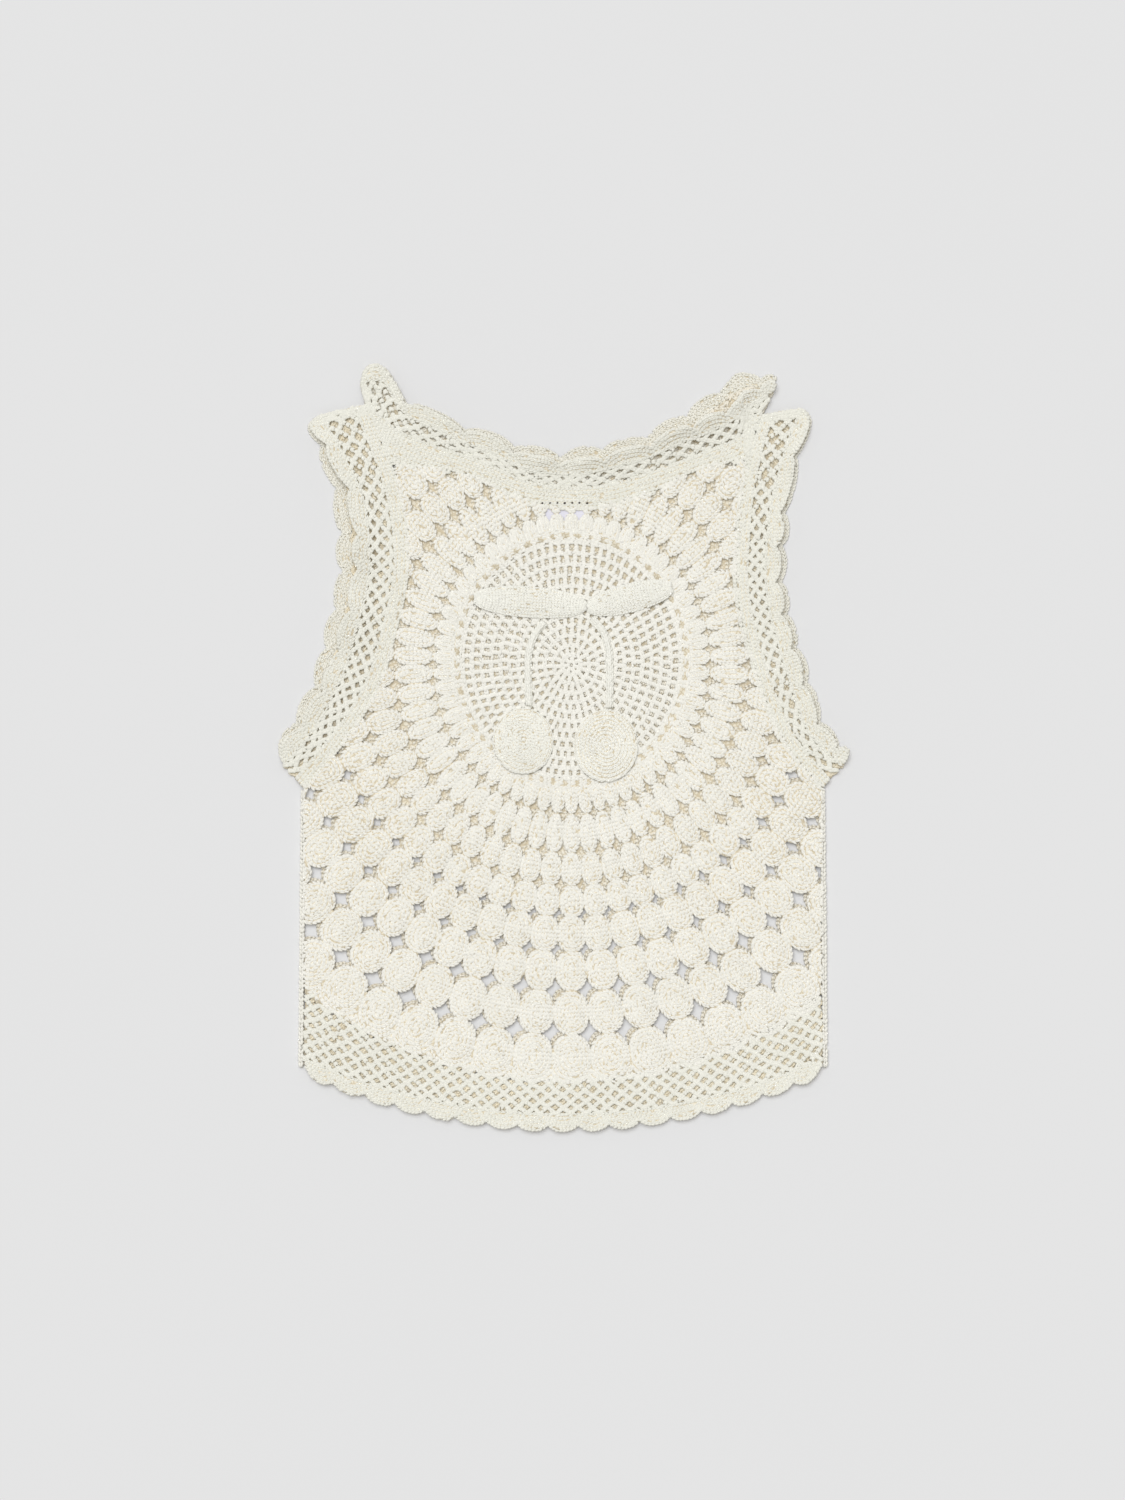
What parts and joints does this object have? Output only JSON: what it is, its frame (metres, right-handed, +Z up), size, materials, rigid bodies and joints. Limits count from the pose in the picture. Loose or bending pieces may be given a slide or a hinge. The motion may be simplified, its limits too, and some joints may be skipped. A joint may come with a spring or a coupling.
{
  "type": "sleeveless crochet top laid flat",
  "caption": "Sleeveless crochet top laid flat: a sunburst of round open-work motifs, scalloped net edgings at neck, armholes and hem, a cherry applique.",
  "frame": {"origin": "middle of the top's outline, on the surface it lies on", "axes": "+X to the right of the front as laid out, +Y towards the neck, +Z up from the surface"},
  "size_m": [0.4784, 0.6368, 0.0165],
  "materials": {
    "motif_yarn": "matte cotton crochet",
    "edging_yarn": "matte cotton crochet",
    "applique_yarn": "matte cotton crochet",
    "label_satin": "soft woven satin"
  },
  "bodies": {
    "root": {"front_panel": "motif_yarn", "back_panel": "motif_yarn", "neck_edging_front": "edging_yarn", "neck_edging_back": "edging_yarn", "armhole_edging_left_front": "edging_yarn", "armhole_edging_left_back": "edging_yarn", "armhole_edging_right_front": "edging_yarn", "armhole_edging_right_back": "edging_yarn", "hem_edging_front": "edging_yarn", "hem_edging_back": "edging_yarn", "side_seam_left": "motif_yarn", "side_seam_right": "motif_yarn", "leaf_left": "applique_yarn", "leaf_right": "applique_yarn", "stem_left": "applique_yarn", "stem_right": "applique_yarn", "cherry_left": "applique_yarn", "cherry_right": "applique_yarn", "neck_label": "label_satin"}
  },
  "joints": []
}
